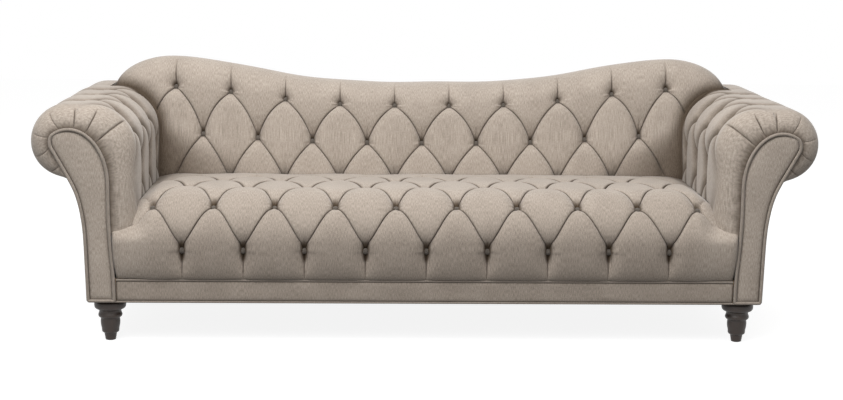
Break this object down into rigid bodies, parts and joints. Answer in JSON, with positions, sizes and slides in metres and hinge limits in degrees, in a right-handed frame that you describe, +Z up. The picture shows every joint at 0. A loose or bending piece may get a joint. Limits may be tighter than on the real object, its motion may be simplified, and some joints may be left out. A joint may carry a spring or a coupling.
{
  "type": "chesterfield sofa",
  "caption": "Deep-buttoned chesterfield sofa with rolled arms, a camel back with two humps, a fixed tufted seat and short turned feet.",
  "frame": {"origin": "on the floor under the middle of the sofa's box", "axes": "+X along the sofa to the right of someone facing it, the front faces -Y, +Z up"},
  "size_m": [2.4392, 0.959, 0.8363],
  "materials": {
    "hardwood": "planed kiln-dried hardwood, hidden inside",
    "plywood": "plywood boards, hidden inside",
    "foot_wood": "turned hardwood, dark espresso stain, satin lacquer",
    "cover_fabric": "woven linen-look upholstery fabric, heathered taupe, matt",
    "welt_fabric": "welt cord covered in the same taupe fabric",
    "button_fabric": "buttons covered in the same taupe fabric",
    "burlap": "jute burlap, hidden inside",
    "webbing": "woven jute webbing, hidden inside",
    "foam": "upholstery foam block, hidden inside",
    "dust_cloth": "black non-woven dust cloth under the frame",
    "spring_steel": "spring steel wire",
    "zinc_steel": "zinc-plated steel hardware"
  },
  "bodies": {
    "root": {"front_rail": "hardwood", "rear_rail": "hardwood", "seat_back_rail": "hardwood", "left_side_rail": "hardwood", "right_side_rail": "hardwood", "seat_stretchers": "hardwood", "corner_blocks": "hardwood", "left_arm_front_board": "plywood", "right_arm_front_board": "plywood", "left_arm_rear_board": "plywood", "right_arm_rear_board": "plywood", "left_arm_top_rail": "hardwood", "right_arm_top_rail": "hardwood", "left_arm_tack_rail": "hardwood", "right_arm_tack_rail": "hardwood", "left_arm_burlap": "burlap", "right_arm_burlap": "burlap", "back_posts": "hardwood", "back_top_rail": "hardwood", "back_tack_rail": "hardwood", "back_webbing": "webbing", "back_core_foam": "foam", "seat_springs": "spring_steel", "spring_clips": "zinc_steel", "spring_tie_wires": "spring_steel", "seat_insulator": "burlap", "seat_core_foam": "foam", "seat_pad": "cover_fabric", "back_pad": "cover_fabric", "left_arm_pad": "cover_fabric", "right_arm_pad": "cover_fabric", "outside_back": "cover_fabric", "left_outside_arm": "cover_fabric", "right_outside_arm": "cover_fabric", "left_arm_front_panel": "cover_fabric", "right_arm_front_panel": "cover_fabric", "front_border": "cover_fabric", "dust_cover": "dust_cloth", "seat_welt": "welt_fabric", "hem_welt": "welt_fabric", "left_arm_front_welt": "welt_fabric", "right_arm_front_welt": "welt_fabric", "outside_back_welt": "welt_fabric", "seat_buttons": "button_fabric", "back_buttons": "button_fabric", "left_arm_buttons": "button_fabric", "right_arm_buttons": "button_fabric", "foot_front_left": "foot_wood", "foot_front_right": "foot_wood", "foot_rear_left": "foot_wood", "foot_rear_right": "foot_wood", "hanger_bolts": "zinc_steel", "foot_nuts": "zinc_steel", "frame_screws": "zinc_steel"}
  },
  "joints": []
}
